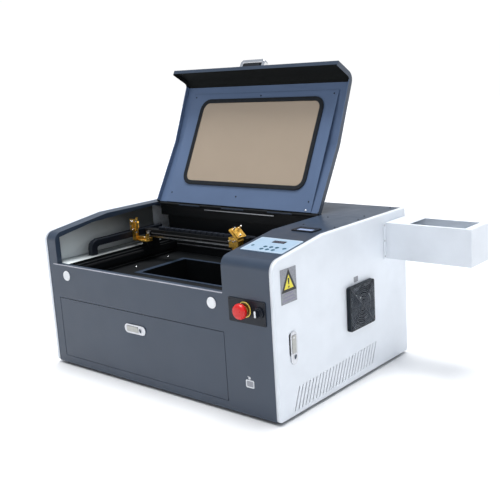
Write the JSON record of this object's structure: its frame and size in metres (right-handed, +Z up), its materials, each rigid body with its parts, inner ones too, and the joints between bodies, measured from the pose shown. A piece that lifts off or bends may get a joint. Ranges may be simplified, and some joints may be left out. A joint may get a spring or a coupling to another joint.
{
  "type": "laser engraver",
  "caption": "Desktop CO2 laser engraver: folded steel cabinet, windowed lid hinged open, gantry with moving head, lifting slat table, drop front door and control column.",
  "frame": {"origin": "centre of the footprint, on the surface that the rubber feet stand on, with the lid open as stored", "axes": "+X runs right along the cabinet's front seen from its operator, -Y faces the operator, +Z is up"},
  "size_m": [1.163, 0.688, 0.9015],
  "materials": {
    "white_paint": "white powder coat, satin",
    "slate_paint": "dark slate grey powder coat, fine texture",
    "lid_paint": "slate grey powder coat, fine texture",
    "black_paint": "black paint, matt",
    "black_plastic": "black moulded plastic",
    "rubber": "black rubber",
    "acrylic": "tinted acrylic sheet",
    "white_plastic": "white moulded plastic",
    "red_plastic": "red moulded plastic",
    "yellow_plastic": "yellow moulded plastic",
    "grey_metal": "satin zinc plating",
    "steel": "bright steel",
    "gold_metal": "gold anodised aluminium",
    "keypad_film": "pale blue membrane film",
    "key_ink": "dark printed key caps",
    "label_foil": "silver grey label stock",
    "tube_glass": "clear borosilicate glass",
    "bed_metal": "bare aluminium slats"
  },
  "bodies": {
    "cabinet": {"side_panel_left": "white_paint", "side_panel_right": "white_paint", "front_fascia": "slate_paint", "base_pan": "black_paint", "rear_panel": "white_paint", "tube_cover": "slate_paint", "exhaust_outlet": "black_plastic", "foot_front_left": "rubber", "foot_front_right": "rubber", "foot_rear_left": "rubber", "foot_rear_right": "rubber", "plug_left": "white_plastic", "plug_right": "white_plastic", "work_tub": "black_paint", "left_shelf": "white_paint", "cable_duct": "black_plastic", "y_rail_left": "black_paint", "y_rail_right": "black_paint", "control_plate": "black_plastic", "estop_collar": "yellow_plastic", "selector_bezel": "black_plastic", "keypad": "keypad_film", "panel_meter": "black_plastic", "fan_guard": "black_plastic", "fan_frame": "black_plastic", "warning_label": "label_foil", "tube_extension": "white_paint", "laser_tube": "tube_glass", "tube_clamp_left": "steel", "tube_clamp_right": "steel", "mirror1_mount": "gold_metal", "lid_hinge": "black_paint", "side_lock_body": "grey_metal"},
    "lid": {"lid_shell": "slate_paint", "lid_panel": "lid_paint", "lid_gasket": "rubber", "lid_window": "acrylic", "lid_handle": "black_plastic"},
    "door": {"front_door": "slate_paint", "door_lock_body": "grey_metal"},
    "door_lever": {"door_lock_lever": "grey_metal"},
    "side_lever": {"side_lock_lever": "grey_metal"},
    "estop_push_body": {"estop_stem": "black_plastic"},
    "estop_knob": {"estop_head": "red_plastic"},
    "selector": {"selector_knob": "black_plastic"},
    "fan": {"fan_rotor": "black_plastic"},
    "gantry": {"gantry_beam": "black_paint", "carriage_left": "black_paint", "carriage_right": "black_paint", "mirror2_mount": "gold_metal"},
    "head": {"head_carriage": "black_paint", "mirror3_mount": "gold_metal", "head_nozzle": "gold_metal"},
    "table": {"lift_table": "bed_metal"},
    "key_front_left": {"key_front_left": "key_ink"},
    "key_front_middle": {"key_front_middle": "key_ink"},
    "key_front_right": {"key_front_right": "key_ink"},
    "key_back_left": {"key_back_left": "key_ink"},
    "key_back_middle": {"key_back_middle": "key_ink"},
    "key_back_right": {"key_back_right": "key_ink"}
  },
  "joints": [
    {"name": "lid_hinge_turn", "type": "hinge", "parent": "cabinet", "child": "lid", "pos_m": [-0.1905, 0.129, 0.444], "axis": [1, 0, 0], "range_deg": [0, 120.3]},
    {"name": "door_drop", "type": "hinge", "parent": "cabinet", "child": "door", "pos_m": [-0.1945, -0.31, 0.033], "axis": [1, 0, 0], "range_deg": [0, 90]},
    {"name": "door_lever_lift", "type": "hinge", "parent": "door", "child": "door_lever", "pos_m": [-0.229, -0.3152, 0.171], "axis": [0, 0, -1], "range_deg": [0, 50]},
    {"name": "side_lever_lift", "type": "hinge", "parent": "cabinet", "child": "side_lever", "pos_m": [0.3227, -0.247, 0.2225], "axis": [0, -1, 0], "range_deg": [0, 50]},
    {"name": "estop_press", "type": "slide", "parent": "cabinet", "child": "estop_push_body", "axis": [0, 1, 0], "range_m": [0, 0.004], "stiffness_N_per_m": 1500},
    {"name": "estop_twist", "type": "hinge", "parent": "estop_push_body", "child": "estop_knob", "pos_m": [0.2235, -0.311, 0.292], "axis": [0, 1, 0], "range_deg": [0, 40], "stiffness_Nm_per_rad": 0.05},
    {"name": "selector_turn", "type": "hinge", "parent": "cabinet", "child": "selector", "pos_m": [0.2695, -0.311, 0.29], "axis": [0, 1, 0], "range_deg": [-45, 45]},
    {"name": "fan_spin", "type": "hinge", "parent": "cabinet", "child": "fan", "pos_m": [0.3055, 0.057, 0.221], "axis": [1, 0, 0], "continuous": true},
    {"name": "gantry_travel", "type": "slide", "parent": "cabinet", "child": "gantry", "axis": [0, 1, 0], "range_m": [-0.24, 0.07]},
    {"name": "head_travel", "type": "slide", "parent": "gantry", "child": "head", "axis": [1, 0, 0], "range_m": [-0.325, 0.18]},
    {"name": "table_lift", "type": "slide", "parent": "cabinet", "child": "table", "axis": [0, 0, 1], "range_m": [-0.04, 0.09]},
    {"name": "key_front_left_press", "type": "slide", "parent": "cabinet", "child": "key_front_left", "axis": [0, 0.1368, -0.9906], "range_m": [0, 0.0005], "stiffness_N_per_m": 250},
    {"name": "key_front_middle_press", "type": "slide", "parent": "cabinet", "child": "key_front_middle", "axis": [0, 0.1368, -0.9906], "range_m": [0, 0.0005], "stiffness_N_per_m": 250},
    {"name": "key_front_right_press", "type": "slide", "parent": "cabinet", "child": "key_front_right", "axis": [0, 0.1368, -0.9906], "range_m": [0, 0.0005], "stiffness_N_per_m": 250},
    {"name": "key_back_left_press", "type": "slide", "parent": "cabinet", "child": "key_back_left", "axis": [0, 0.1368, -0.9906], "range_m": [0, 0.0005], "stiffness_N_per_m": 250},
    {"name": "key_back_middle_press", "type": "slide", "parent": "cabinet", "child": "key_back_middle", "axis": [0, 0.1368, -0.9906], "range_m": [0, 0.0005], "stiffness_N_per_m": 250},
    {"name": "key_back_right_press", "type": "slide", "parent": "cabinet", "child": "key_back_right", "axis": [0, 0.1368, -0.9906], "range_m": [0, 0.0005], "stiffness_N_per_m": 250}
  ]
}
